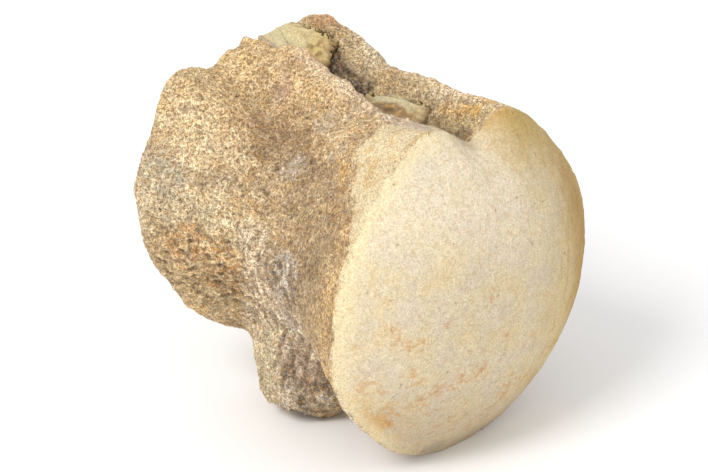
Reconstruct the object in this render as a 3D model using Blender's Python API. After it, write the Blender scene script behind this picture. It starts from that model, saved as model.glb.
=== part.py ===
"""A fossil mosasaur neck vertebra, lying as it rests on a table.

The bone's own frame: +X runs along the centrum to the condyle, +Z is dorsal and -Y is the animal's
left. The origin is the middle of the condyle's rim. Angles go round the X axis from +Y through +Z,
and along is the distance in front of the condyle's rim.
"""

import math

import bmesh
import bpy
import numpy as np
from mathutils import Matrix, Vector

# Driving dimensions, in metres
CENTRUM_LENGTH = 0.0470
CONDYLE_WIDTH = 0.0640
CONDYLE_HEIGHT = 0.0635
CONDYLE_DOME = 0.0125
CONDYLE_FULLNESS = 2.5
COTYLE_WIDTH = 0.0590
COTYLE_HEIGHT = 0.0500
COTYLE_DEPTH = 0.0110
COTYLE_LIP = 0.0025
COTYLE_RISE = 0.0015
COTYLE_LEAN = 0.0040
WAIST_SIDES = 0.0085
WAIST_TOP = 0.0010
WAIST_BELOW = 0.0070
FLARE_SHARPNESS = 1.2
RIM_EASE = 0.0040
RIM_FADE = 4

# How it lies: rolled about its own X axis, with small flats worn where it touches the table
ROLL = math.radians(10)
FOOT_WEAR = 0.0007

# The mesh
SEGMENTS = 96
DORSAL_DENSITY = 0.45
DOME_RINGS = 10
SIDE_RINGS = 27
BOWL_RINGS = 8

# Swellings and hollows of the side wall: along, half length, angle and half angle in degrees, height,
# and squareness (1 is a soft bell, more has a flatter top)
SIDE_FORMS = {
    "arch_base": (0.044, 0.014, 97, 30, 0.0040, 2.2),
    "left_diapophysis": (0.045, 0.013, 153, 22, 0.0054, 1.8),
    "left_parapophysis": (0.041, 0.014, 184, 19, 0.0030, 1.7),
    "left_shoulder": (0.050, 0.011, 136, 11, 0.0047, 1.3),
    "right_diapophysis": (0.044, 0.013, 24, 24, 0.0062, 1.8),
    "right_parapophysis": (0.040, 0.012, -44, 27, 0.0125, 1.8),
    "right_shoulder": (0.047, 0.012, 48, 12, 0.0030, 1.3),
    "left_pedicel": (0.030, 0.0125, 107, 9, 0.0045, 1.8),
    "left_pedicel_break": (0.0390, 0.0034, 105, 7, -0.0020, 1.3),
    "right_pedicel_front": (0.0395, 0.0110, 75, 9, 0.0048, 2.4),
    "right_pedicel_rear": (0.022, 0.010, 77, 8, 0.0025, 1.8),
    "neural_canal": (0.024, 0.031, 92, 8, -0.0060, 2.0),
    "hypapophysis": (0.030, 0.0112, 258, 21, 0.0135, 2.3),
}

# Bumps and flats round the condyle's rim: angle, half angle, height
RIM_FORMS = {
    "canal_notch": (98, 10, -0.0058),
    "left_flat": (166, 30, -0.0016),
    "upper_right_flat": (50, 24, -0.0021),
    "lower_left_flat": (231, 12, -0.0010),
}

# Sandstone left in the neural canal: where it starts and ends along, its first and last angle in
# degrees, the height of its top over the axis at its start and end, and how far it tapers there
MATRIX_FILLS = {
    "canal_matrix_front": (0.0355, 0.0475, 83, 100, 0.0272, 0.0314, 0.0085, 0.0),
    "canal_matrix_rear": (0.0130, 0.0270, 84.5, 93, 0.0262, 0.0266, 0.0070, 0.0080),
}
MATRIX_SQUARENESS = 4
MATRIX_TILT = 0.30
MATRIX_GAP = 0.0006
MATRIX_THINNEST = 0.0006
SLOPE_STEP = 0.0005


def bell(distance, squareness=1.0):
    """1 in the middle, 0.37 at distance 1 and about 0 at 2; squarer has a flatter top."""
    return np.exp(-np.power(np.abs(distance), 2 * squareness))


def turn_between(angle, middle):
    """The signed angle in degrees from middle to angle, the short way round."""
    return (angle - middle + 180) % 360 - 180


def oval(angle, width, height):
    """The radius of an oval of this width and height, at an angle in degrees."""
    turn = np.radians(angle)
    return 1 / np.sqrt((np.cos(turn) / (width / 2)) ** 2 + (np.sin(turn) / (height / 2)) ** 2)


def condyle_rim(angle, share=1.0):
    """The condyle's radius; the bumps of its rim fade towards the pole as share goes from 1 to 0."""
    radius = oval(angle, CONDYLE_WIDTH, CONDYLE_HEIGHT)
    for middle, spread, height in RIM_FORMS.values():
        radius = radius + height * share**RIM_FADE * bell(turn_between(angle, middle) / spread)
    return radius


def side_radius(along, angle):
    """The radius of the side wall, at one distance along and at each angle."""
    share = along / CENTRUM_LENGTH
    up = np.sin(np.radians(angle))
    waist = np.where(up > 0, WAIST_SIDES + (WAIST_TOP - WAIST_SIDES) * up**2,
                     WAIST_SIDES + (WAIST_BELOW - WAIST_SIDES) * up**2)
    flare = np.sin(math.pi * share) ** FLARE_SHARPNESS if 0 < share < 1 else 0.0
    start = condyle_rim(angle)
    end = oval(angle, COTYLE_WIDTH, COTYLE_HEIGHT)
    ease = share * share * (3 - 2 * share)
    radius = start + (end - start) * ease - waist * flare
    for middle, length, turn, spread, height, square in SIDE_FORMS.values():
        off = np.hypot((along - middle) / length, turn_between(angle, turn) / spread)
        radius = radius + height * bell(off, square) * min(1.0, along / RIM_EASE)
    return radius


def clear_of_side(along, angles, gap):
    """The radius that clears the side wall by the gap, also where the wall is steep."""
    radius = side_radius(along, angles)
    slope_round = np.gradient(radius, np.radians(angles)) / radius
    before = side_radius(along - SLOPE_STEP, angles)
    after = side_radius(along + SLOPE_STEP, angles)
    slope_along = (after - before) / (2 * SLOPE_STEP)
    return radius + gap * np.sqrt(1 + slope_round**2 + slope_along**2)


def ring_angles():
    """The angles of a ring's points, in degrees, closer together along the back of the bone."""
    even = np.arange(SEGMENTS) * 2 * math.pi / SEGMENTS
    return np.degrees(even + DORSAL_DENSITY * np.cos(even))


def ring(x, radius, rise=0.0):
    turn = np.radians(ring_angles())
    y = radius * np.cos(turn)
    z = rise + radius * np.sin(turn)
    return np.stack([np.broadcast_to(x, y.shape), y, z], axis=1)


def cotyle_lean():
    """How much farther forward the cotyle's rim is than its middle, at each point of a ring."""
    return COTYLE_LEAN * np.sin(np.radians(ring_angles()))


def side_station(share):
    """The x of the side wall's points at a share of the centrum's length."""
    return -share * (CENTRUM_LENGTH + cotyle_lean())


def bone_rings():
    """Rings of points from the condyle's pole, over its rim and along the side, into the cotyle."""
    angles = ring_angles()
    rings = []
    for i in range(1, DOME_RINGS + 1):
        share = math.sin(math.pi / 2 * i / DOME_RINGS)
        x = CONDYLE_DOME * (1 - share**CONDYLE_FULLNESS)
        rings.append(ring(x, share * condyle_rim(angles, share)))
    for i in range(1, SIDE_RINGS + 1):
        share = i / SIDE_RINGS
        along = CENTRUM_LENGTH * share
        rings.append(ring(side_station(share), side_radius(along, angles), COTYLE_RISE * share))
    rim = side_radius(CENTRUM_LENGTH, angles)
    bowl = oval(angles, COTYLE_WIDTH, COTYLE_HEIGHT) - COTYLE_LIP
    rings.append(ring(side_station(1.0) - COTYLE_LIP / 2, (rim + bowl) / 2, COTYLE_RISE))
    for i in range(BOWL_RINGS):
        share = math.cos(math.pi / 2 * i / BOWL_RINGS)
        deep = COTYLE_DEPTH * math.sin(math.pi / 2 * i / BOWL_RINGS)
        x = -CENTRUM_LENGTH - cotyle_lean() * share + deep
        rings.append(ring(x, share * bowl, COTYLE_RISE))
    return rings


def make_bone_mesh():
    rings = bone_rings()
    mesh = bmesh.new()
    loops = [[mesh.verts.new(point) for point in one] for one in rings]
    first = mesh.verts.new((CONDYLE_DOME, 0, 0))
    last = mesh.verts.new((-CENTRUM_LENGTH + COTYLE_DEPTH, 0, COTYLE_RISE))
    for j in range(SEGMENTS):
        k = (j + 1) % SEGMENTS
        mesh.faces.new((first, loops[0][j], loops[0][k]))
        mesh.faces.new((last, loops[-1][k], loops[-1][j]))
        for near, far in zip(loops, loops[1:]):
            mesh.faces.new((near[j], far[j], far[k], near[k]))
    bmesh.ops.recalc_face_normals(mesh, faces=mesh.faces[:])
    return mesh


def taper(off, length):
    """How much of its thickness a fill has at this distance from its end."""
    return min(1.0, off / length) ** 0.8 if length else 1.0


def make_matrix_mesh(start, end, first_angle, last_angle, start_height, end_height, thin_start, thin_end):
    """A fill that lies in the canal, thin at its edges: its underside follows the bone at a small gap."""
    angles = ring_angles()
    columns = [j for j in range(SEGMENTS) if first_angle <= angles[j] <= last_angle]
    across = np.clip(2 * (angles - first_angle) / (last_angle - first_angle) - 1, -1, 1)
    bulge = 1 - np.abs(across) ** MATRIX_SQUARENESS
    under = []
    over = []
    for i in range(SIDE_RINGS + 1):
        share = i / SIDE_RINGS
        along = CENTRUM_LENGTH * share
        if not start <= along <= end:
            continue
        height = start_height + (end_height - start_height) * (along - start) / (end - start)
        floor = clear_of_side(along, angles, MATRIX_GAP)
        turn = np.radians(angles)
        level = (height - COTYLE_RISE * share) / (np.sin(turn) - MATRIX_TILT * np.cos(turn))
        whole = taper(along - start, thin_start) * taper(end - along, thin_end)
        top = floor + np.maximum((level - floor) * whole * bulge, MATRIX_THINNEST)
        under.append(ring(side_station(share), floor, COTYLE_RISE * share)[columns])
        over.append(ring(side_station(share), top, COTYLE_RISE * share)[columns])
    mesh = bmesh.new()
    low = [[mesh.verts.new(point) for point in row] for row in under]
    high = [[mesh.verts.new(point) for point in row] for row in over]
    rows = len(low) - 1
    last = len(columns) - 1
    for i in range(rows):
        for j in range(last):
            mesh.faces.new((low[i][j], low[i][j + 1], low[i + 1][j + 1], low[i + 1][j]))
            mesh.faces.new((high[i][j], high[i][j + 1], high[i + 1][j + 1], high[i + 1][j]))
        for j in (0, last):
            mesh.faces.new((low[i][j], low[i + 1][j], high[i + 1][j], high[i][j]))
    for i in (0, rows):
        for j in range(last):
            mesh.faces.new((low[i][j], low[i][j + 1], high[i][j + 1], high[i][j]))
    bmesh.ops.recalc_face_normals(mesh, faces=mesh.faces[:])
    return mesh


def wear_feet(mesh):
    """Wears small flats, all at one level, where the bone touches the table."""
    lowest = min(v.co.z for v in mesh.verts)
    everything = mesh.verts[:] + mesh.edges[:] + mesh.faces[:]
    cut = bmesh.ops.bisect_plane(
        mesh, geom=everything, plane_co=(0, 0, lowest + FOOT_WEAR), plane_no=(0, 0, -1), clear_outer=True
    )
    edges = [part for part in cut["geom_cut"] if isinstance(part, bmesh.types.BMEdge)]
    bmesh.ops.holes_fill(mesh, edges=edges)


def centre_over_origin(mesh):
    """How far to move the mesh so that its box stands on the origin."""
    low = Vector([min(v.co[axis] for v in mesh.verts) for axis in range(3)])
    high = Vector([max(v.co[axis] for v in mesh.verts) for axis in range(3)])
    return Vector((-(low.x + high.x) / 2, -(low.y + high.y) / 2, -low.z))


def material(name, colour, roughness):
    made = bpy.data.materials.new(name)
    made.use_nodes = True
    shader = made.node_tree.nodes["Principled BSDF"]
    shader.inputs["Base Color"].default_value = (*colour, 1)
    shader.inputs["Roughness"].default_value = roughness
    return made


def add_object(name, mesh, finish):
    data = bpy.data.meshes.new(name)
    mesh.to_mesh(data)
    mesh.free()
    data.materials.append(finish)
    made = bpy.data.objects.new(name, data)
    bpy.context.scene.collection.objects.link(made)
    return made


def main():
    for old in list(bpy.data.objects):
        bpy.data.objects.remove(old)
    roll = Matrix.Rotation(-ROLL, 4, "X")
    bone = make_bone_mesh()
    bmesh.ops.transform(bone, matrix=roll, verts=bone.verts[:])
    wear_feet(bone)
    shift = centre_over_origin(bone)
    bmesh.ops.translate(bone, vec=shift, verts=bone.verts[:])
    add_object("vertebra", bone, material("fossil_bone", (0.62, 0.47, 0.29), 0.8))
    sandstone = material("matrix_sandstone", (0.60, 0.56, 0.38), 0.9)
    for name, sizes in MATRIX_FILLS.items():
        fill = make_matrix_mesh(*sizes)
        bmesh.ops.transform(fill, matrix=Matrix.Translation(shift) @ roll, verts=fill.verts[:])
        add_object(name, fill, sandstone)


main()
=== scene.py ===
"""The fossil mosasaur vertebra: its weathered bone, the sandstone in its canal, floor, light and camera.

Places on the bone are given in its own frame, as in its source: +X runs to the condyle, +Z is dorsal and
the origin is the middle of the condyle's rim. Along is the distance in front of the rim, and angles go
round the X axis from +Y through +Z. Fields over the surface are worked out in millimetres.
"""

import itertools
import math

import bmesh
import bpy
import numpy as np
from mathutils import Matrix, Vector

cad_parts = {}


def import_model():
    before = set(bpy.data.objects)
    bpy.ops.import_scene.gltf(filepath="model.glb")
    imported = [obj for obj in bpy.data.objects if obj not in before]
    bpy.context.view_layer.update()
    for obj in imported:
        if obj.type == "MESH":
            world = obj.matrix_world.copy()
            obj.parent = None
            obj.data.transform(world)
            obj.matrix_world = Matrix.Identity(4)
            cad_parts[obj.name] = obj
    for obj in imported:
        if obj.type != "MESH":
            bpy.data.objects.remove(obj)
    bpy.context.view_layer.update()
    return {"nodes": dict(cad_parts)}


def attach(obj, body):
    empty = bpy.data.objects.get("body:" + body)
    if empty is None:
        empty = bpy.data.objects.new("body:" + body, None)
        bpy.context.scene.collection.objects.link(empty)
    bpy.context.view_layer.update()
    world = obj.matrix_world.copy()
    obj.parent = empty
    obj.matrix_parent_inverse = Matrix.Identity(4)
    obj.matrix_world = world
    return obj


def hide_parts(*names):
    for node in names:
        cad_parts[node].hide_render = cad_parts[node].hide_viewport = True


MM = 0.001

# Where the bone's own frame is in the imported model, and how far the bone is rolled
RIM_CENTRE = Vector((0.019875, -0.001375, 0.031366))
ROLL = math.radians(10)

# The surface mesh: the size of its even cells, and how often it is smoothed
BONE_VOXEL = 0.27 * MM
BONE_ROUNDS = 6
MATRIX_VOXEL = 0.20 * MM
MATRIX_ROUNDS = 60

# Rounding the CAD's facets: what is welded, what is one flat face, and which edges stay sharp
WELD = 0.01 * MM
FLAT_ANGLE = math.radians(12)
SKEW_ANGLE = math.radians(50)
SHARP_ANGLE = math.radians(32)
SHARPNESS = 0.75

# The noise: the number of its gradients, the gain that brings it to about -1 to 1, and a value for no cell
DIRECTIONS = 128
NOISE_GAIN = 1.7
FAR = 9.0

# The mean radius of the bone in millimetres, for lengths round it
MEAN_RADIUS = 30

# How much of the light that falls on a surface a colour has to send back to look as it is given,
# and the darkest and lightest that a mineral can be
LIGHT_SHARE = 0.76
DARKEST = 0.004
LIGHTEST = 0.98

# The finest grain, as scales per metre, and the depth of its relief
FINE_GRAIN = 3600
GAP_GRAIN = 2300
THREAD_GRAIN = 1700
MEDIUM_GRAIN = 1300
GOLDEN_GRAIN = 1150
GRAIN_DEPTH = 0.39 * MM

# The studio
FLOOR_HALF = 3.0
FLOOR_WHITE = 0.94
SURROUND = 0.84
LAMP_AIM = Vector((0, 0, 0.03))

# The photograph's frame and camera
IMAGE_WIDTH = 708
IMAGE_HEIGHT = 472
FOCAL_PIXELS = 2920
SENSOR = 36
CAMERA_DISTANCE = 0.5
CAMERA_AZIMUTH = math.radians(45.2)
CAMERA_ELEVATION = math.radians(25.3)
RIM_PIXEL = (461.8, 281.0)


# Noise

def make_directions():
    """Unit vectors spread over a sphere, for the noise's gradients."""
    index = np.arange(DIRECTIONS) + 0.5
    height = 1 - 2 * index / DIRECTIONS
    turn = index * math.pi * (1 + math.sqrt(5))
    flat = np.sqrt(1 - height**2)
    return np.stack([np.cos(turn) * flat, np.sin(turn) * flat, height], axis=1)


GRADIENTS = make_directions()


def hashed(cell, seed):
    """A pseudo-random whole number for each cell of a grid."""
    mixed = cell[:, 0] * 73856093 ^ cell[:, 1] * 19349663 ^ cell[:, 2] * 83492791
    mixed = mixed ^ (seed + 1) * 668265263
    mixed = ((mixed ^ (mixed >> 15)) * 0x2C1B3C6D) & 0xFFFFFFFF
    mixed = ((mixed ^ (mixed >> 12)) * 0x297A2D39) & 0xFFFFFFFF
    return mixed ^ (mixed >> 15)


def noise(points, size, seed=0):
    """Smooth noise from about -1 to 1, with bumps of about this size."""
    scaled = points / size + seed * 17.31
    cell = np.floor(scaled).astype(np.int64)
    inside = scaled - cell
    ease = inside**3 * (inside * (inside * 6 - 15) + 10)
    total = np.zeros(len(points))
    for corner in itertools.product((0, 1), repeat=3):
        step = np.array(corner)
        gradient = GRADIENTS[hashed(cell + step, seed) % DIRECTIONS]
        weight = np.prod(np.where(step == 1, ease, 1 - ease), axis=1)
        total += weight * np.einsum("ij,ij->i", gradient, inside - step)
    return total * NOISE_GAIN


def layers(points, size, count, seed=0, fade=0.5):
    """Noise with finer layers on top, each half the size of the one before."""
    total = np.zeros(len(points))
    height = 1.0
    for i in range(count):
        total += height * noise(points, size / 2**i, seed + i)
        height *= fade
    return total


def cells(points, size, seed=0, where=None):
    """Scattered cells: the distance to the nearest middle and to the border, and a random share each.

    Only the points where the mask is over 0 are worked out; the others get no cell.
    """
    if where is not None:
        found = [np.full(len(points), FAR), np.full(len(points), FAR), np.zeros(len(points))]
        chosen = where > 0.01
        for whole, part in zip(found, cells(points[chosen], size, seed)):
            whole[chosen] = part
        return found
    scaled = points / size
    cell = np.floor(scaled).astype(np.int64)
    nearest = np.full(len(points), FAR)
    second = np.full(len(points), FAR)
    share = np.zeros(len(points))
    for corner in itertools.product((-1, 0, 1), repeat=3):
        other = cell + np.array(corner)
        number = hashed(other, seed)
        bytes_of_it = [number & 255, (number >> 8) & 255, (number >> 16) & 255]
        middle = other + np.stack(bytes_of_it, axis=1) / 255
        distance = np.linalg.norm(scaled - middle, axis=1)
        closer = distance < nearest
        second = np.where(closer, nearest, np.minimum(second, distance))
        share = np.where(closer, ((number >> 3) % 1009) / 1008, share)
        nearest = np.where(closer, distance, nearest)
    return nearest, second - nearest, share


def step_up(value, low, high):
    """0 below low, 1 above high, and smooth between them."""
    share = np.clip((value - low) / (high - low), 0, 1)
    return share * share * (3 - 2 * share)


# Places on the bone

def own_frame():
    """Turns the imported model's coordinates into the bone's own."""
    return Matrix.Rotation(ROLL, 4, "X") @ Matrix.Translation(-RIM_CENTRE)


class Surface:
    """The points of a mesh with their places on the bone, in millimetres and degrees."""

    def __init__(self, mesh):
        self.mesh = mesh
        count = len(mesh.vertices)
        world = np.zeros(count * 3, np.float32)
        mesh.vertices.foreach_get("co", world)
        normal = np.zeros(count * 3, np.float32)
        mesh.vertices.foreach_get("normal", normal)
        turn = np.array(own_frame().to_3x3())
        self.normal = normal.reshape(-1, 3).astype(float)
        self.own_normal = self.normal @ turn.T
        self.world = world.reshape(-1, 3).astype(float)
        self.own = (self.world - np.array(RIM_CENTRE)) @ turn.T / MM
        self.along = -self.own[:, 0]
        self.radius = np.hypot(self.own[:, 1], self.own[:, 2])
        self.angle = np.degrees(np.arctan2(self.own[:, 2], self.own[:, 1])) % 360
        ragged = np.stack([noise(self.own, 3.5, 40), noise(self.own, 3.5, 41)], axis=1)
        ragged += 0.5 * np.stack([noise(self.own, 1.2, 42), noise(self.own, 1.2, 43)], axis=1)
        self.ragged = ragged

    def turn_from(self, middle):
        return (self.angle - middle + 180) % 360 - 180

    def spot(self, along, angle, half_length, half_angle, ragged=1.0, soft=0.5):
        """1 inside an oval patch with a ragged edge, and 0 outside."""
        off_along = (self.along - along + ragged * self.ragged[:, 0]) / half_length
        off_angle = (self.turn_from(angle) + 2 * ragged * self.ragged[:, 1]) / half_angle
        return 1 - step_up(np.hypot(off_along, off_angle), 1 - soft, 1 + soft)

    def line(self, start, end, half_width, ragged=0.6, soft=0.5):
        """1 on a line between two places (along, angle), and 0 a half width away from it."""
        scale = math.radians(1) * MEAN_RADIUS
        x = self.along + ragged * self.ragged[:, 0] - start[0]
        y = self.turn_from(start[1]) * scale + ragged * self.ragged[:, 1]
        to_x = end[0] - start[0]
        to_y = (end[1] - start[1]) * scale
        share = np.clip((x * to_x + y * to_y) / (to_x**2 + to_y**2), 0, 1)
        off = np.hypot(x - share * to_x, y - share * to_y) / half_width
        return 1 - step_up(off, 1 - soft, 1 + soft)

    def move(self, height):
        """Moves the points along their normals by a height in millimetres, but not into the floor."""
        self.world = self.world + self.normal * (height * MM)[:, None]
        self.world[:, 2] = np.maximum(self.world[:, 2], 0)
        self.mesh.vertices.foreach_set("co", self.world.astype(np.float32).ravel())
        self.mesh.update()


def smoothed_copy(node, name, voxel, rounds):
    """A copy of a CAD node's form in a fine even mesh, without the CAD's facets."""
    form = bmesh.new()
    form.from_mesh(node.data)
    bmesh.ops.remove_doubles(form, verts=form.verts[:], dist=WELD)
    bmesh.ops.join_triangles(
        form, faces=form.faces[:], angle_face_threshold=FLAT_ANGLE, angle_shape_threshold=SKEW_ANGLE
    )
    crease = form.edges.layers.float.new("crease_edge")
    for edge in form.edges:
        if len(edge.link_faces) == 2 and edge.calc_face_angle() > SHARP_ANGLE:
            edge[crease] = SHARPNESS
    data = bpy.data.meshes.new(name)
    form.to_mesh(data)
    form.free()
    piece = bpy.data.objects.new(name, data)
    bpy.context.scene.collection.objects.link(piece)
    rounder = piece.modifiers.new("rounder", "SUBSURF")
    rounder.levels = 2
    rounder.render_levels = 2
    even = piece.modifiers.new("even", "REMESH")
    even.mode = "VOXEL"
    even.voxel_size = voxel
    even.use_smooth_shade = True
    smooth = piece.modifiers.new("smooth", "SMOOTH")
    smooth.factor = 0.5
    smooth.iterations = rounds
    made = bpy.data.meshes.new_from_object(piece.evaluated_get(bpy.context.evaluated_depsgraph_get()))
    piece.modifiers.clear()
    piece.data = made
    bpy.data.meshes.remove(data)
    made.name = name
    made.materials.clear()
    return piece


def store(mesh, name, values):
    """Keeps one number for each point, for the material to read."""
    attribute = mesh.attributes.new(name, "FLOAT", "POINT")
    attribute.data.foreach_set("value", values.astype(np.float32))


def store_colour(mesh, name, colours):
    """Keeps one colour for each point, for the material to read."""
    attribute = mesh.color_attributes.new(name, "FLOAT_COLOR", "POINT")
    full = np.ones((len(colours), 4), np.float32)
    full[:, :3] = colours
    attribute.data.foreach_set("color", full.ravel())


def linear(red, green, blue):
    """A colour given in the 0-255 steps of a screen, as the renderer's linear colour."""
    share = np.array([red, green, blue]) / 255
    return np.where(share <= 0.04045, share / 12.92, ((share + 0.055) / 1.055) ** 2.4)


class Paint:
    """Colours over a surface, laid one over another, given as they look in the studio's light."""

    def __init__(self, count, colour):
        self.colour = np.tile(linear(*colour), (count, 1))

    def over(self, mask, colour, strength=1.0):
        share = np.clip(mask * strength, 0, 1)[:, None]
        self.colour = self.colour * (1 - share) + linear(*colour) * share

    def shade(self, factor):
        self.colour = self.colour * factor[:, None]

    def finished(self):
        """The colours of the surface itself, before the light falls on it."""
        return np.clip(self.colour * LIGHT_SHARE, DARKEST, LIGHTEST)


# The bone

# The crests on both sides of the neural canal: places along, and the angles there
CREST_ALONG = (0, 5, 12, 20, 34, 47)
LEFT_CREST = (113, 113, 112, 108, 105.5, 105)
RIGHT_CREST = (81, 81, 80.5, 79.5, 78, 76.5)

# Millimetres for each degree round the bone at the crests
CREST_SCALE = 0.52

# How far the condyle's cream skin runs onto the side, at these angles
SKIN_ANGLES = (100, 108, 118, 128, 140, 152, 165, 185, 300, 360)
SKIN_REACH = (1.0, 4.0, 11.0, 12.0, 7.0, 3.0, 0.6, 0.0, 0.0, 1.0)

# Orange flecks on the condyle: y, z and size
FLECKS = (
    (-14.3, -16.3, 2.0), (-15.6, -17.6, 1.5), (-12.6, -14.0, 2.2), (-9.0, -12.9, 2.6),
    (-5.0, -12.0, 2.2), (-15.6, -4.0, 1.0), (-18.6, -5.3, 1.6), (-23.0, -2.4, 1.3),
    (-22.4, -4.8, 1.3), (-14.6, -1.5, 1.5), (-6.1, 2.2, 1.6), (-1.3, -5.8, 1.2),
    (-10.4, -19.5, 1.2), (-20.0, -9.0, 0.9), (-17.0, -20.0, 0.9),
)


def bone_regions(bone):
    """Which points are on the condyle, in the cotyle's cup and in the neural canal, each from 0 to 1."""
    outward = bone.own_normal[:, 0]
    edge = 0.35 * noise(bone.own, 2.5, 3)
    condyle = step_up(-bone.along + edge, -0.5, 0.5)
    cup = step_up(bone.along, 34, 38) * step_up(-outward, 0.25, 0.6)
    cup = cup * (1 - step_up(bone.radius / 27, 0.98, 1.12))
    left = bone.angle - np.interp(bone.along, CREST_ALONG, LEFT_CREST)
    right = bone.angle - np.interp(bone.along, CREST_ALONG, RIGHT_CREST)
    canal = step_up(right, 1.0, 3.5) * step_up(-left, 2.0, 5.0) * step_up(bone.along, 1, 6)
    return condyle, cup, canal * (1 - cup) * (bone.own[:, 2] > 0)


def bone_relief(bone, condyle, cup, canal):
    """The height in millimetres of the weathered surface over the plain form."""
    own = bone.own
    reach = np.interp(bone.angle, SKIN_ANGLES, SKIN_REACH)
    skin = step_up(reach + 1.4 * bone.ragged[:, 0] - bone.along, -0.8, 1.2) * (1 - condyle)
    rough = (1 - condyle) * (1 - 0.7 * cup) * (1 - 0.65 * skin)
    stretched = own * np.array([0.40, 1.0, 1.0])
    warp = np.stack([noise(own, 1.6, 14), noise(own, 1.6, 15), noise(own, 1.6, 16)], axis=1)
    warped = own + 0.5 * warp

    # Broken chunks, ridges like threads and wide swells on the sides; softer swells on smooth bone
    _, chunk_border, chunk_share = cells(warped, 3.6, 11, rough)
    threads = 0.16 * (0.30 - np.abs(noise(own, 1.9, 4))) + 0.15 * (0.28 - np.abs(noise(own, 1.1, 5)))
    threads += 0.12 * noise(own, 0.62, 10)
    height = rough * (
        0.30 * noise(own, 9.0, 1)
        + 0.24 * noise(own, 4.6, 2)
        + 0.34 * (chunk_share - 0.5) * step_up(chunk_border, 0.0, 0.16)
        + 0.12 * noise(stretched, 2.3, 3)
        + threads
    )
    height += (condyle + 0.8 * skin) * (
        0.13 * noise(own, 13.0, 6) + 0.085 * noise(own, 5.0, 7) + 0.050 * noise(own, 2.2, 8)
        + 0.050 * noise(own, 1.2, 9) + 0.040 * noise(own, 0.62, 17)
    )
    striped = own * np.array([1.0, 1.0, 0.30])
    height += 0.08 * noise(striped, 1.5, 18) * condyle * step_up(own[:, 1], 4, 14)
    height += cup * (
        0.10 * noise(own, 6.0, 12) + 0.06 * noise(own, 2.2, 13) + 0.05 * noise(own, 0.9, 19)
    )

    # Long pits on the left lobe and the neighbouring wall, where the spongy bone is open
    open_bone = bone.spot(37, 192, 8, 16, 1.6) + 0.8 * bone.spot(37, 210, 7, 12, 1.6)
    open_bone += 0.45 * bone.spot(38, 330, 10, 22, 1.6) + 0.4 * bone.spot(40, 10, 9, 18, 1.6)
    open_bone = np.clip(open_bone, 0, 1) * rough
    pit_middle, _, pit_share = cells(own * np.array([0.42, 1.0, 1.0]), 1.30, 21, open_bone)
    pits = step_up(0.46 - pit_middle, 0, 0.24) * (pit_share > 0.35)
    height -= 0.50 * pits * open_bone
    ragged_edge = bone.spot(38, 214, 10, 16, 1.0)
    height += 0.34 * noise(own, 1.5, 36) * ragged_edge * rough

    # Small holes scattered over the sides
    hole_middle, _, hole_share = cells(own, 1.7, 22, rough)
    holes = step_up(0.20 - hole_middle, 0, 0.10) * (hole_share > 0.70) * rough
    hole_at = np.hypot(bone.along - 28.3, bone.turn_from(144) * 0.42)
    holes = np.maximum(holes, 1 - step_up(hole_at, 0.35, 0.65))
    height -= 0.42 * holes

    # Fibres that run from the left lobe down into the knob, long round the bone and narrow along it
    around = np.radians(bone.angle) * MEAN_RADIUS
    fibre_points = np.stack([bone.along / 0.75, around / 5.0, bone.radius / 5.0], axis=1)
    fibre_points[:, 0] += 0.9 * noise(own, 6.0, 23)
    fibres = noise(fibre_points, 1.0, 24) + 0.6 * noise(fibre_points * 2.1, 1.0, 25)
    fibre_band = bone.line((29, 172), (26, 190), 2.6, 1.0) + bone.line((26, 190), (31, 227), 3.4, 1.0)
    fibre_band += bone.line((31, 227), (31, 243), 4.2, 1.0)
    fibre_band += 0.6 * bone.line((22, 200), (22, 238), 4.0, 1.0)
    fibre_band += 0.9 * bone.spot(26, 237, 8, 17, 1.0) + 0.7 * bone.spot(21, 212, 4, 12, 1.0)
    fibre_band = np.clip(fibre_band, 0, 1) * rough
    height += 0.34 * fibres * fibre_band

    # Wider strands on the knob and above it
    knob = bone.spot(25, 236, 9, 19, 1.2) + 0.8 * bone.line((22, 196), (22, 222), 3.2, 1.2)
    knob = np.clip(knob, 0, 1) * rough
    strand_points = np.stack([bone.along / 1.25, around / 7.0, bone.radius / 7.0], axis=1)
    strand_points[:, 0] += 0.7 * noise(own, 5.0, 72)
    strands = noise(strand_points, 1.0, 73) * knob
    height += 0.30 * strands

    # Jagged flakes of the outer layer, left standing in the hollow of the side
    flakes = bone.spot(20, 184, 3.2, 9, 1.2) + 0.8 * bone.spot(23, 214, 4.5, 14, 1.4)
    flakes += 0.6 * bone.spot(25, 141, 3, 6, 1)
    flakes = np.clip(flakes, 0, 1) * rough
    _, flake_border, flake_share = cells(warped * np.array([1.0, 1.0, 0.6]), 1.7, 26, flakes)
    height += 0.62 * (flake_share - 0.45) * step_up(flake_border, 0.0, 0.10) * flakes

    # A step across the lobe and the worn band beside the condyle, with the condyle's thin lip
    scarp = bone.along - 30 + 0.35 * bone.turn_from(160) + 4.0 * bone.ragged[:, 0]
    step = np.exp(-np.maximum(scarp, 0) / 2.5) * step_up(scarp, -0.3, 0.1)
    height += 0.30 * step * bone.spot(33, 160, 10, 26, 1.0) * rough
    height += 0.32 * bone.line((43, 150), (33, 172), 1.4, 1.2) * rough
    below = step_up(-own[:, 2], -12, 0)
    height -= 0.25 * np.exp(-(((bone.along - 2.8) / 1.6) ** 2)) * (1 - condyle) * below
    height += 0.22 * np.exp(-((bone.along / 0.8) ** 2)) * below
    rim = np.exp(-((bone.along / 1.2) ** 2))
    height -= 0.38 * rim * step_up(noise(own, 3.2, 27) + 0.5 * noise(own, 1.4, 28), 0.25, 0.75)
    height += 0.16 * rim * noise(own, 5.5, 33)

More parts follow.
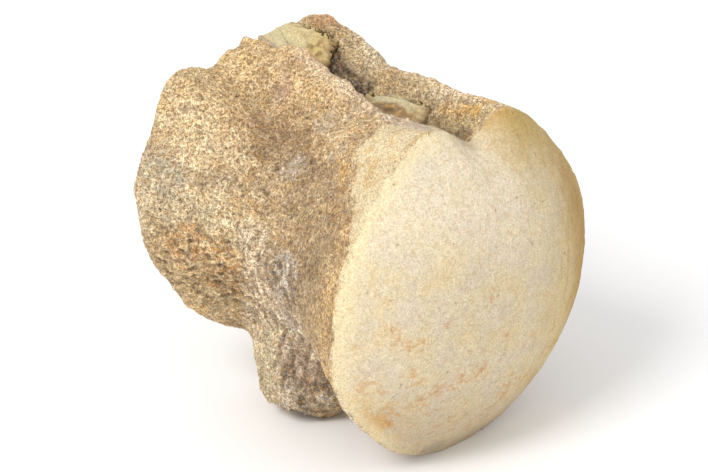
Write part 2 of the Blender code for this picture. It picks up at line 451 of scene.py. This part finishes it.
    # The broken crests beside the canal, and its coarse walls
    for angles, high in ((LEFT_CREST, 0.62), (RIGHT_CREST, 0.50)):
        off = (bone.angle - np.interp(bone.along, CREST_ALONG, angles)) * CREST_SCALE
        off += 0.35 * noise(own, 2.4, 34)
        crest = np.exp(-((off / 0.85) ** 2)) * step_up(bone.along, 2, 8) * (1 - cup) * (own[:, 2] > 0)
        height += high * crest * (1 + 0.7 * noise(own, 2.6, 35)) * rough
    height += canal * (0.20 * noise(own, 1.5, 30) + 0.12 * noise(own, 0.8, 31))

    # Hollows and torn edges under the knob
    torn = bone.spot(23, 250, 6, 9, 1.4) * rough
    height += torn * (0.55 * noise(own, 2.6, 29) - 0.15)

    # The pores of the condyle
    upper = step_up(own[:, 2], 6, 26)
    pore_middle, _, pore_share = cells(own, 1.9, 32, condyle)
    pores = step_up(0.15 - pore_middle, 0, 0.08) * (pore_share > 0.86 - 0.35 * upper) * condyle
    height -= 0.22 * pores
    marks = {
        "skin": skin,
        "chunk": chunk_share,
        "threads": threads / 0.12 * rough,
        "open": open_bone,
        "pits": pits * open_bone,
        "holes": holes,
        "fibre_band": fibre_band,
        "fibres": fibres * fibre_band,
        "strands": strands,
        "flakes": flakes * step_up(flake_share, 0.50, 0.54) * step_up(flake_border, 0.05, 0.14),
        "torn": torn,
        "pores": pores,
    }
    return height, marks


def condyle_colours(bone):
    """The condyle: cream with soft clouds, a painted highlight over its upper part and along its worn left
    lip, ochre to its right, olive at the top right and orange flecks.
    """
    own = bone.own

    # Clouds of cream, pink and pale yellow, freckles low down, and a painted highlight over the upper part
    mottle = layers(own, 5.0, 3, 60)
    paint = Paint(len(own), (234, 217, 183))
    paint.over(step_up(mottle, 0.0, 0.6), (242, 216, 162), 0.45)
    paint.over(step_up(-mottle, 0.0, 0.6), (228, 211, 194), 0.50)
    low = step_up(-own[:, 2], 0, 18)
    freckles = noise(own, 1.6, 61) + 0.6 * noise(own, 0.8, 63) + 0.8 * noise(own, 7.0, 64)
    paint.over(step_up(freckles, 0.40, 0.70) * low, (216, 156, 84), 0.60)
    # Painted highlight: the upper part of the condyle, towards the key lamp, made paler
    paint.over(step_up(own[:, 2], 2, 20) * step_up(-own[:, 1], -14, 2), (252, 238, 210), 0.7)
    paint.over(step_up(noise(own, 1.3, 67), 0.05, 0.5), (212, 186, 140), 0.26)
    paint.over(step_up(-noise(own, 1.7, 65), 0.10, 0.6), (250, 236, 206), 0.28)

    # The right side: ochre with upright streaks, an olive lobe at the top, and duller cream low down
    streaks = noise(own * np.array([1.0, 1.0, 0.28]), 1.5, 62)
    paint.over(step_up(own[:, 1], 2, 22), (220, 192, 126), 0.65)
    paint.over(step_up(own[:, 1], 6, 16) * step_up(streaks, 0.05, 0.5), (196, 162, 100), 0.45)
    far_right = own[:, 1] + 0.25 * own[:, 2] + 1.5 * bone.ragged[:, 0]
    paint.over(step_up(far_right, 14, 27), (184, 142, 66), 0.9)
    paint.over(step_up(-own[:, 2], 10, 30), (200, 181, 150), 0.75)
    upper_right = step_up(own[:, 2], 4, 18) * step_up(own[:, 1], -6, 6)
    paint.over(step_up(bone.radius, 24, 30) * upper_right, (218, 194, 136), 0.5)
    paint.over(bone.spot(-1, 78, 6, 14, 1.8, 0.9), (200, 166, 84), 0.85)
    paint.over(bone.spot(0.5, 86, 1.6, 4, 0.8, 0.9), (208, 152, 72), 0.5)

    # Patches at the rim: pale and grey at the top, orange and brown at the bottom left, grey below
    paint.over(bone.spot(-0.9, 126, 2.6, 4, 1.0, 0.9), (222, 218, 204), 0.7)
    paint.over(bone.spot(-0.8, 103, 2.0, 5, 1.0, 0.9), (176, 160, 134), 0.6)
    paint.over(bone.spot(-1.4, 226, 2.8, 12, 1.6) * step_up(freckles, -0.8, 0.1), (218, 164, 78), 0.85)
    paint.over(bone.spot(-1.2, 228, 2.2, 7, 1.6) * step_up(-freckles, -0.3, 0.3), (200, 130, 48), 0.7)
    paint.over(bone.spot(-1.5, 264, 2.4, 4, 1.2), (176, 162, 142), 0.6)

    # The orange flecks, broken up, and the pale worn lip along the left of the rim, brightened further by a
    # painted highlight
    broken = step_up(noise(own, 0.9, 66) + 0.7 * noise(own, 0.5, 68), -0.15, 0.45)
    deeper = step_up(noise(own, 0.7, 69), 0.1, 0.4)
    for y, z, size in FLECKS:
        off = np.hypot(own[:, 1] - y, own[:, 2] - z) / size + 0.5 * bone.ragged[:, 0]
        fleck = (1 - step_up(off, 0.4, 1.2)) * broken * (own[:, 0] > 0)
        paint.over(fleck, (216, 166, 106), 0.5)
        paint.over(fleck * deeper, (200, 130, 72), 0.55)
    # The worn lip along the left of the rim, partly its own pale colour and partly a painted highlight
    worn_lip_and_highlight = np.exp(-(((bone.along + 0.5) / 1.7) ** 2)) * step_up(-own[:, 1], 4, 18)
    paint.over(worn_lip_and_highlight, (254, 236, 190), 0.85)
    return paint


def side_colours(bone, marks):
    """The sides: tan with cream, ochre and brown clouds, the marks that the bone has, painted light on the
    left lobe and painted shadows beside its flakes.
    """
    own = bone.own
    cloud = layers(own, 9.0, 3, 50)
    patch = layers(own, 3.2, 4, 54, 0.6)
    small = layers(own + 40, 2.0, 3, 47, 0.7)
    paint = Paint(len(own), (222, 191, 146))
    paint.over(step_up(cloud, 0.00, 0.55), (240, 214, 168))
    paint.over(step_up(-cloud, 0.05, 0.60), (194, 152, 102), 0.75)
    paint.over(step_up(patch, 0.10, 0.55), (240, 186, 104), 0.72)
    paint.over(step_up(-patch, 0.10, 0.60), (188, 166, 140), 0.72)
    paint.over(step_up(small, 0.20, 0.60), (238, 216, 176), 0.62)
    paint.over(step_up(-small, 0.20, 0.60), (166, 118, 70), 0.58)
    paint.over(step_up(marks["chunk"], 0.80, 0.90), (226, 206, 166), 0.40)
    paint.over(step_up(0.20 - marks["chunk"], 0.0, 0.1), (180, 140, 92), 0.40)

    # Wide soft patches: golden and pale on the slope of the pedicel, a near-white painted light on the left
    # lobe, brown in the waist
    paint.over(bone.spot(47, 112, 10, 22, 2.0, 0.8), (230, 192, 136), 0.6)
    paint.over(bone.spot(41, 134, 9, 16, 2.0, 0.9), (244, 212, 158), 0.5)
    # Painted light: the left lobe made near white, as if lit from below
    paint.over(bone.spot(37, 179, 6, 11, 2.0, 0.9), (255, 236, 190), 0.95)
    paint.over(bone.spot(30, 122, 11, 13, 2.0, 0.9), (236, 200, 148), 0.7)
    paint.over(bone.spot(42, 165, 8, 22, 2.5, 0.9), (226, 206, 172), 0.5)
    paint.over(bone.line((34, 131), (20, 141), 5.0, 2.8, 0.8), (146, 108, 74), 0.75)
    paint.over(bone.spot(26, 154, 8, 14, 2.5, 0.9), (174, 146, 110), 0.75)
    paint.over(bone.spot(14, 176, 9, 24, 2.5, 0.9), (154, 124, 90), 0.85)
    paint.over(bone.spot(12, 205, 5, 34, 2.0, 0.9), (170, 142, 106), 0.55)

    # Grey, pale and brown patches on the left lobe, and a pale one beyond the canal
    paint.over(bone.spot(43.5, 162, 4, 6, 1.6), (184, 178, 160), 0.65)
    paint.over(bone.spot(36, 206, 6, 14, 1.8), (210, 194, 150), 0.6)
    paint.over(bone.spot(46, 175, 5, 22, 1.8, 0.8), (196, 176, 140), 0.5)
    paint.over(bone.spot(44, 190, 3.5, 10, 1.4, 0.8), (172, 144, 106), 0.7)
    paint.over(bone.spot(42, 204, 5, 12, 1.6, 0.8), (206, 180, 138), 0.7)
    paint.over(bone.spot(33, 70, 9, 8, 1.6, 0.8), (244, 230, 202), 0.75)
    paint.over(marks["open"], (214, 180, 130), 0.45)

    # Rust in the open bone, drawn out along the bone
    streaks = noise(own * np.array([0.28, 1.0, 1.0]), 1.1, 44) + 0.4 * noise(own, 0.8, 45)
    rust = bone.line((39, 183), (31, 190), 3.6, 1.2) + bone.line((36, 199), (32, 206), 2.6, 1.2)
    rust = np.clip(rust + 0.8 * bone.line((32, 190), (29, 197), 1.8, 1.0), 0, 1)
    paint.over(rust, (222, 178, 118), 0.45)
    paint.over(rust * step_up(streaks, -0.05, 0.35), (196, 128, 58), 0.75)
    paint.over(rust * step_up(-streaks, 0.2, 0.5), (104, 68, 40), 0.8)

    # Fibres and strands down to the knob, and the knob's own patches
    paint.over(marks["fibre_band"], (236, 214, 184), 0.8)
    paint.over(step_up(marks["fibres"], 0.1, 0.7), (250, 236, 212), 0.8)
    paint.over(step_up(-marks["fibres"], 0.1, 0.6), (118, 92, 78), 0.7)
    paint.over(step_up(marks["strands"], 0.05, 0.5), (234, 216, 196), 0.75)
    paint.over(step_up(-marks["strands"], 0.05, 0.45), (112, 86, 80), 0.75)
    paint.over(bone.line((22, 203), (21, 220), 1.6, 1.2), (138, 110, 92), 0.4)
    paint.over(bone.line((21, 220), (24, 238), 1.8, 1.2), (126, 102, 86), 0.4)
    paint.over(bone.line((19, 240), (16, 250), 1.4, 0.8), (84, 74, 84), 0.8)
    paint.over(bone.spot(33, 244, 6, 10, 1.5), (204, 190, 156), 0.6)
    paint.over(bone.spot(23, 238, 4, 14, 1.8), (146, 124, 112), 0.3)
    paint.over(bone.line((31, 230), (30, 248), 3.0, 1.4), (222, 206, 168), 0.65)
    paint.over(bone.line((24, 246), (17, 252), 1.6, 1.2), (222, 210, 194), 0.6)

    # Flakes of the outer layer: lilac and white on dark ground, with two dark lines of painted shadow
    # beside them; each line as start, end, width and colour
    paint.over(bone.spot(20.5, 188, 5, 13, 1.6), (122, 104, 92), 0.75)
    paint.over(marks["flakes"], (214, 202, 190), 0.85)
    flaked = step_up(noise(own, 1.4, 39) + 0.8 * noise(own, 0.7, 38), -0.35, 0.05)
    for start, end, width, colour in (
        # The first two lines are painted shadows beside the flakes
        ((22.6, 182), (21.6, 190), 1.0, (88, 76, 74)),
        ((18.6, 182), (18.2, 194), 0.9, (96, 82, 80)),
        ((21.2, 179), (20.4, 183), 0.7, (236, 224, 206)),
        ((20.6, 188), (19.4, 191.5), 0.8, (250, 238, 220)),
        ((22.6, 196), (21.4, 208), 1.2, (200, 184, 168)),
        ((19.6, 199), (19.2, 212), 0.8, (112, 84, 70)),
    ):
        paint.over(bone.line(start, end, width, 1.4, 0.35) * flaked, colour, 0.85)

    # Small scars higher up, and the torn bone under the knob
    paint.over(bone.spot(25, 140, 2.6, 4, 0.8), (188, 172, 154), 0.7)
    paint.over(bone.spot(23.5, 121, 2.6, 5, 0.7), (214, 194, 168), 0.65)
    paint.over(bone.spot(36, 116, 1.6, 3, 0.8), (200, 158, 142), 0.55)
    paint.over(marks["torn"] * step_up(-noise(own, 2.6, 29), -0.1, 0.4), (78, 62, 50), 0.85)
    paint.over(marks["torn"] * step_up(noise(own, 1.3, 69), 0.2, 0.6), (206, 196, 186), 0.6)

    # The golden band beside the condyle, its pale lip, and the cream skin that runs over its rim
    low = step_up(bone.turn_from(150), 0, 14) * (bone.turn_from(220) < 62)
    paint.over(np.exp(-(((bone.along - 3.4) / 2.8) ** 2)) * low, (232, 188, 126), 0.8)
    at_rim = np.exp(-(bone.along**2))
    paint.over(at_rim * step_up(bone.turn_from(205), 0, 12), (206, 194, 182), 0.8)
    paint.over(marks["skin"], (234, 216, 176), 0.85)
    paint.over(marks["skin"] * step_up(noise(own, 2.2, 70), 0.1, 0.6), (224, 184, 118), 0.6)
    paint.over(bone.line((15, 104), (2, 104), 3.2, 0.8), (182, 168, 154), 0.8)
    paint.over(bone.line((12, 112), (1.5, 114.5), 1.3, 0.6), (184, 168, 154), 0.65)
    return paint


def bone_colours(bone, condyle, cup, canal, marks, height):
    """The colours of the whole bone, and how coarse its finest grain is, from 0 to 1."""
    own = bone.own
    paint = side_colours(bone, marks)
    share = condyle[:, None]
    paint.colour = paint.colour * (1 - share) + condyle_colours(bone).colour * share

    # The cup, and the canal: tan far wall, purple and brown depths with painted shadow deep in the canal
    # and painted shade along the creases of its groove, an orange streak
    patch = layers(own, 3.6, 3, 71)
    paint.over(cup, (236, 218, 180), 0.85)
    paint.over(cup * step_up(patch, 0.1, 0.7), (204, 176, 130), 0.6)
    paint.over(canal, (222, 192, 142), 0.7)
    depth = step_up(bone.angle - 82.0 + 1.2 * bone.ragged[:, 1], 0, 2.0)
    # Painted shadow: the deep part of the canal's far wall painted near black
    canal_shadow = canal * depth * step_up(bone.along, 27.5, 29.5)
    paint.over(canal_shadow, (44, 28, 31), 0.97)
    paint.over(canal * step_up(bone.angle, 88, 94) * step_up(27 - bone.along, 0, 3), (128, 102, 76), 0.8)
    # Painted shade in the crease along the canal's groove by the condyle
    paint.over(bone.line((22, 91), (1, 98), 1.2, 0.6), (88, 70, 54), 0.85)
    paint.over(bone.line((36, 105.5), (14, 110), 1.4, 0.8), (226, 204, 180), 0.5)
    paint.over(bone.spot(7, 86, 4.5, 3, 0.8), (192, 172, 122), 0.5)
    # Painted shade in the crevice near the notch
    paint.over(bone.line((14, 87.5), (4, 90), 0.9, 0.6), (118, 98, 70), 0.75)
    paint.over(bone.line((12, 84.5), (4, 84.5), 0.7, 0.4), (240, 182, 88), 0.8)
    paint.over(bone.spot(46, 78, 3.5, 5, 1.0), (206, 146, 92), 0.7)
    paint.over(bone.line((35, 76), (28, 77), 1.5, 0.8), (176, 160, 146), 0.6)
    paint.over(bone.spot(13, 81, 7, 4, 1.0, 0.8), (250, 232, 196), 0.6)
    paint.over(bone.spot(32, 80, 3.0, 3, 1.0), (226, 206, 170), 0.6)

    # Pits, holes and pores
    paint.over(marks["holes"], (92, 62, 40), 0.75)
    paint.over(marks["pits"], (136, 98, 62), 0.65)
    paint.over(marks["pores"], (150, 124, 92), 0.55)

    # Grain: brown between the threads and cream on them, partly the grain's colour and partly painted shade
    # and highlight; specks; and painted shade in the hollows with paler raised bone, partly wear and partly
    # painted highlight
    coarse = (1 - condyle) * (1 - 0.65 * cup) * (1 - 0.6 * marks["skin"]) * (1 - 0.75 * canal_shadow)
    uneven = step_up(noise(own, 5.5, 46) + 0.5 * noise(own, 2.0, 48), -0.3, 0.6)
    coarse = coarse * (0.98 + 0.42 * uneven)
    # Brown in the grooves and cream on the threads, partly the grain's colour and partly painted shade and
    # highlight, then a painted shade that follows the threads
    paint.over(step_up(-marks["threads"], 0.1, 1.2), (150, 104, 58), 0.30)
    paint.over(step_up(marks["threads"], 0.1, 0.9), (250, 228, 184), 0.34)
    paint.shade(np.clip(1 + 0.11 * marks["threads"] * coarse, 0.70, 1.2))
    speck = noise(own, 0.8, 57) + 0.6 * noise(own, 0.5, 58)
    open_side = (1 - condyle) * (1 - canal)
    paint.shade(1 + 0.085 * open_side + (0.15 * coarse + 0.035 * condyle) * speck)
    # Painted shade in the hollows of the relief and paler raised bone, partly wear and partly painted
    # highlight
    hollow_shade_and_wear = 0.65 * np.clip(height, -0.6, 0.35) * (0.25 + 0.75 * coarse)
    paint.shade(np.clip(1 + hollow_shade_and_wear, 0.45, 1.25))
    return paint.finished(), coarse


def make_bone(node, finish):
    """The bone: the CAD's form in a fine mesh, with its weathered surface and its colours."""
    piece = smoothed_copy(node, "bone", BONE_VOXEL, BONE_ROUNDS)
    bone = Surface(piece.data)
    condyle, cup, canal = bone_regions(bone)
    height, marks = bone_relief(bone, condyle, cup, canal)
    colours, coarse = bone_colours(bone, condyle, cup, canal, marks, height)
    bone.move(height)
    store_colour(piece.data, "bone_colour", colours)
    store(piece.data, "coarse", coarse)
    piece.data.materials.append(finish)
    return piece


# The sandstone in the canal

FRONT_SEED = 90
REAR_SEED = 100


def edge_distance(stone, both_ends):
    """How far a point is from the fill's edges, as a share of its width or length."""
    over_width = (stone.angle - stone.angle.min()) / np.ptp(stone.angle)
    over_length = (stone.along - stone.along.min()) / np.ptp(stone.along)
    nearest = np.minimum(np.minimum(over_width, 1 - over_width), over_length)
    return np.minimum(nearest, 1 - over_length) if both_ends else nearest


def make_matrix(node, name, finish, seed):
    """A patch of sandstone: its broken face, its edges down on the bone, and its colours."""
    piece = smoothed_copy(node, name, MATRIX_VOXEL, MATRIX_ROUNDS)
    stone = Surface(piece.data)
    own = stone.own
    front = seed == FRONT_SEED
    rear = seed == REAR_SEED

    # The sides are pushed out against the bone; the face is lumpy, with a few cracks in the front patch
    under = 1 - step_up(stone.own_normal[:, 2], 0.35, 0.75)
    height = 0.85 * under + 0.28 * noise(own, 5.0, seed) + 0.16 * noise(own, 1.8, seed + 1)
    height += 0.06 * noise(own, 0.8, seed + 2)
    crack = np.abs(noise(own, 6.0, seed + 5))
    cracked = (1 - step_up(crack, 0.0, 0.04)) * (1 - under) * front * (stone.angle > 88)
    height -= 0.30 * cracked

    # Pale yellow-green clouds
    paint = Paint(len(own), (224, 210, 168))
    cloud = layers(own, 4.0, 3, seed + 3)
    paint.over(step_up(cloud, 0.0, 0.7), (238, 222, 168), 0.75)
    paint.over(step_up(-cloud, 0.0, 0.7), (204, 192, 156), 0.7)

    # The rear patch is brown and crumbly along its near side
    crumbs = noise(own, 1.0, seed + 7)
    near = step_up(stone.angle - 88.6 + 0.9 * stone.ragged[:, 0], 0, 1.2) * rear
    paint.over(near, (138, 104, 68), 0.85)
    paint.over(near * step_up(crumbs, 0.1, 0.4), (214, 164, 96), 0.8)
    height += 0.35 * near * crumbs

    # The inner end of the front patch is golden and pitted, and brown where it ends: a painted shadow where
    # it meets the canal's depth
    pitted = noise(own, 1.2, seed + 6)
    inner = step_up(45.5 - stone.along + 1.2 * stone.ragged[:, 0], 0, 3.0) * front
    paint.over(inner, (238, 212, 130), 0.7)
    paint.over(inner * step_up(pitted, 0.0, 0.4), (140, 104, 66), 0.75)
    # Painted shadow: the front patch darkened brown where it ends
    inner_end_shadow = step_up(41.0 - stone.along + stone.ragged[:, 0], 0, 2.0) * front
    paint.over(inner_end_shadow, (158, 124, 88), 0.8)
    height += 0.40 * inner * pitted

    # The edges are coloured like the bone and sink towards it, the open ends most
    rim = 1 - step_up(edge_distance(stone, rear) + 0.06 * stone.ragged[:, 0], 0.02, 0.20)
    paint.over(rim, (212, 182, 130), 0.55)
    height -= 0.35 * rim * (1 - under)
    over_length = (stone.along - stone.along.min()) / np.ptp(stone.along)
    from_end = np.minimum(over_length, 1 - over_length) if rear else over_length
    height -= 0.75 * (1 - step_up(from_end, 0.0, 0.20)) * (1 - under)
    height += 0.50 * under * (1 - step_up(over_length, 0.0, 0.12)) * rear

    paint.over(step_up(stone.turn_from(97), -2, 1) * front, (206, 180, 160), 0.7)
    paint.over(cracked, (120, 98, 70), 0.7)
    paint.shade(1 + 0.07 * noise(own, 0.6, seed + 4))
    stone.move(height)
    store_colour(piece.data, "stone_colour", paint.finished())
    piece.data.materials.append(finish)
    return piece


# Materials

def add(tree, kind, **values):
    """A new shader node with its settings."""
    node = tree.nodes.new(kind)
    for key, value in values.items():
        setattr(node, key, value)
    return node


def noise_node(tree, place, scale, detail=2.0, roughness=0.5, distortion=0.0):
    """Noise in the material, at a scale per metre."""
    node = add(tree, "ShaderNodeTexNoise")
    node.inputs["Scale"].default_value = scale
    node.inputs["Detail"].default_value = detail
    node.inputs["Roughness"].default_value = roughness
    node.inputs["Distortion"].default_value = distortion
    tree.links.new(place, node.inputs["Vector"])
    return node.outputs["Fac"]


def ramp_node(tree, source, low, high, start=0.0, end=1.0):
    """Turns a source between low and high into values from start to end."""
    node = add(tree, "ShaderNodeMapRange", clamp=True)
    node.inputs["From Min"].default_value = low
    node.inputs["From Max"].default_value = high
    node.inputs["To Min"].default_value = start
    node.inputs["To Max"].default_value = end
    tree.links.new(source, node.inputs["Value"])
    return node.outputs["Result"]


def math_node(tree, operation, first, second):
    """A sum, product or other operation on two sockets or numbers."""
    node = add(tree, "ShaderNodeMath", operation=operation)
    for socket, value in zip(node.inputs, (first, second)):
        if isinstance(value, (int, float)):
            socket.default_value = value
        else:
            tree.links.new(value, socket)
    return node.outputs["Value"]


def mix_node(tree, blend, share, first, second):
    """One colour mixed into another by a share, each a socket or a plain value."""
    node = add(tree, "ShaderNodeMix", data_type="RGBA", blend_type=blend)
    for socket, value in ((node.inputs[0], share), (node.inputs[6], first), (node.inputs[7], second)):
        if isinstance(value, (int, float, tuple)):
            socket.default_value = value
        else:
            tree.links.new(value, socket)
    return node.outputs[2]


def weathered_material(name, colour_name, coarse_name, coarseness, roughness):
    """Mineral with fine grains in colour and relief; coarse_name scales them over the surface."""
    finish = bpy.data.materials.new(name)
    finish.use_nodes = True
    tree = finish.node_tree
    shader = tree.nodes["Principled BSDF"]
    place = add(tree, "ShaderNodeTexCoord").outputs["Object"]
    colour = add(tree, "ShaderNodeAttribute", attribute_name=colour_name).outputs["Color"]
    if coarse_name:
        coarse = add(tree, "ShaderNodeAttribute", attribute_name=coarse_name).outputs["Fac"]
        coarse = ramp_node(tree, coarse, 0.0, 1.0, 0.30 * coarseness, coarseness)
    else:
        coarse = coarseness

    # Patterns in the solid: fine and medium grains, pale threads, golden grains and dark gaps
    fine = noise_node(tree, place, FINE_GRAIN, 2.0, 0.7)
    medium = noise_node(tree, place, MEDIUM_GRAIN, 3.0, 0.6)
    off_middle = math_node(tree, "SUBTRACT", noise_node(tree, place, THREAD_GRAIN, 2.0, 0.6, 0.3), 0.5)
    threads = ramp_node(tree, math_node(tree, "ABSOLUTE", off_middle, 0.0), 0.0, 0.06, 1.0, 0.0)
    golden = ramp_node(tree, noise_node(tree, place, GOLDEN_GRAIN, 3.0, 0.65, 0.4), 0.50, 0.60)
    gaps = ramp_node(tree, noise_node(tree, place, GAP_GRAIN, 2.0, 0.65, 0.5), 0.52, 0.62)

    # Colour
    bright = ramp_node(tree, fine, 0.28, 0.72, 0.31, 1.87)
    bright = math_node(tree, "MULTIPLY", bright, ramp_node(tree, medium, 0.3, 0.7, 0.86, 1.14))
    grey = add(tree, "ShaderNodeCombineColor")
    for socket in grey.inputs:
        tree.links.new(bright, socket)
    result = mix_node(tree, "MULTIPLY", coarse, colour, grey.outputs["Color"])
    for mask, share, tint in (
        (golden, 0.42, (0.72, 0.42, 0.13, 1)),
        (threads, 0.42, (0.84, 0.72, 0.52, 1)),
        (gaps, 0.62, (0.20, 0.10, 0.04, 1)),
    ):
        here = math_node(tree, "MULTIPLY", math_node(tree, "MULTIPLY", mask, share), coarse)
        result = mix_node(tree, "MIX", here, result, tint)
    tree.links.new(result, shader.inputs["Base Color"])
    uneven = ramp_node(tree, medium, 0.3, 0.7, roughness - 0.10, roughness + 0.08)
    tree.links.new(uneven, shader.inputs["Roughness"])

    # Relief
    relief = math_node(tree, "MULTIPLY", math_node(tree, "ADD", fine, medium), 0.6)
    relief = math_node(tree, "ADD", relief, math_node(tree, "MULTIPLY", gaps, -0.35))
    relief = math_node(tree, "ADD", relief, math_node(tree, "MULTIPLY", threads, 0.20))
    bump = add(tree, "ShaderNodeBump")
    bump.inputs["Distance"].default_value = GRAIN_DEPTH
    tree.links.new(relief, bump.inputs["Height"])
    if coarse_name:
        tree.links.new(coarse, bump.inputs["Strength"])
    else:
        bump.inputs["Strength"].default_value = coarseness
    tree.links.new(bump.outputs["Normal"], shader.inputs["Normal"])
    shader.inputs["Specular IOR Level"].default_value = 0.3
    return finish


def plain_material(name, colour, roughness):
    """A material of one colour, for the floor."""
    finish = bpy.data.materials.new(name)
    finish.use_nodes = True
    shader = finish.node_tree.nodes["Principled BSDF"]
    shader.inputs["Base Color"].default_value = (*colour, 1)
    shader.inputs["Roughness"].default_value = roughness
    return finish


# The studio

def make_floor():
    """The pale floor, as part of the stage."""
    data = bpy.data.meshes.new("floor")
    half = FLOOR_HALF
    corners = [(-half, -half, 0), (half, -half, 0), (half, half, 0), (-half, half, 0)]
    data.from_pydata(corners, [], [(0, 1, 2, 3)])
    floor = bpy.data.objects.new("floor", data)
    bpy.context.scene.collection.objects.link(floor)
    data.materials.append(plain_material("floor_white", (FLOOR_WHITE,) * 3, 0.9))


def add_light(name, azimuth, elevation, distance, size, power):
    """A square lamp that points at the bone, placed by its angles in degrees and its distance."""
    lamp = bpy.data.lights.new(name, "AREA")
    lamp.size = size
    lamp.energy = power
    holder = bpy.data.objects.new(name, lamp)
    bpy.context.scene.collection.objects.link(holder)
    turn = math.radians(azimuth)
    rise = math.radians(elevation)
    way = Vector((math.sin(turn) * math.cos(rise), -math.cos(turn) * math.cos(rise), math.sin(rise)))
    holder.location = way * distance + LAMP_AIM
    holder.rotation_euler = way.to_track_quat("Z", "Y").to_euler()


def make_lights():
    """The pale surround, a soft key lamp and a weak fill."""
    world = bpy.data.worlds.new("studio")
    world.use_nodes = True
    world.node_tree.nodes["Background"].inputs["Color"].default_value = (1, 1, 1, 1)
    world.node_tree.nodes["Background"].inputs["Strength"].default_value = SURROUND
    bpy.context.scene.world = world
    add_light("key", azimuth=5, elevation=45, distance=0.9, size=0.32, power=4.6)
    add_light("fill", azimuth=95, elevation=30, distance=1.0, size=0.8, power=0.8)


def make_camera():
    """The photograph's camera, with the middle of the condyle's rim at its place in the picture."""
    azimuth = CAMERA_AZIMUTH
    elevation = CAMERA_ELEVATION
    level = Vector((math.sin(azimuth), -math.cos(azimuth), 0))
    back = level * math.cos(elevation) + Vector((0, 0, math.sin(elevation)))
    right = Vector((math.cos(azimuth), math.sin(azimuth), 0))
    up = back.cross(right)
    aside = (RIM_PIXEL[0] - IMAGE_WIDTH / 2) / FOCAL_PIXELS
    above = (IMAGE_HEIGHT / 2 - RIM_PIXEL[1]) / FOCAL_PIXELS
    data = bpy.data.cameras.new("camera")
    data.sensor_width = SENSOR
    data.lens = FOCAL_PIXELS * SENSOR / IMAGE_WIDTH
    camera = bpy.data.objects.new("camera", data)
    bpy.context.scene.collection.objects.link(camera)
    camera.location = RIM_CENTRE + (back - right * aside - up * above) * CAMERA_DISTANCE
    camera.rotation_euler = back.to_track_quat("Z", "Y").to_euler()
    bpy.context.scene.camera = camera


def main():
    """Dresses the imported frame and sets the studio."""
    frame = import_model()
    nodes = frame["nodes"]
    bone_finish = weathered_material("bone_surface", "bone_colour", "coarse", 1.0, 0.82)
    stone_finish = weathered_material("sandstone_surface", "stone_colour", None, 0.35, 0.88)
    bone = make_bone(nodes["vertebra"], bone_finish)
    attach(bone, "root")
    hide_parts("vertebra")
    for name, node, seed in (
        ("sandstone_front", "canal_matrix_front", FRONT_SEED),
        ("sandstone_rear", "canal_matrix_rear", REAR_SEED),
    ):
        stone = make_matrix(nodes[node], name, stone_finish, seed)
        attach(stone, "root")
        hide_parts(node)
    make_floor()
    make_lights()
    make_camera()
    bpy.context.scene.view_settings.view_transform = "Standard"
    bpy.context.scene.view_settings.look = "None"


main()
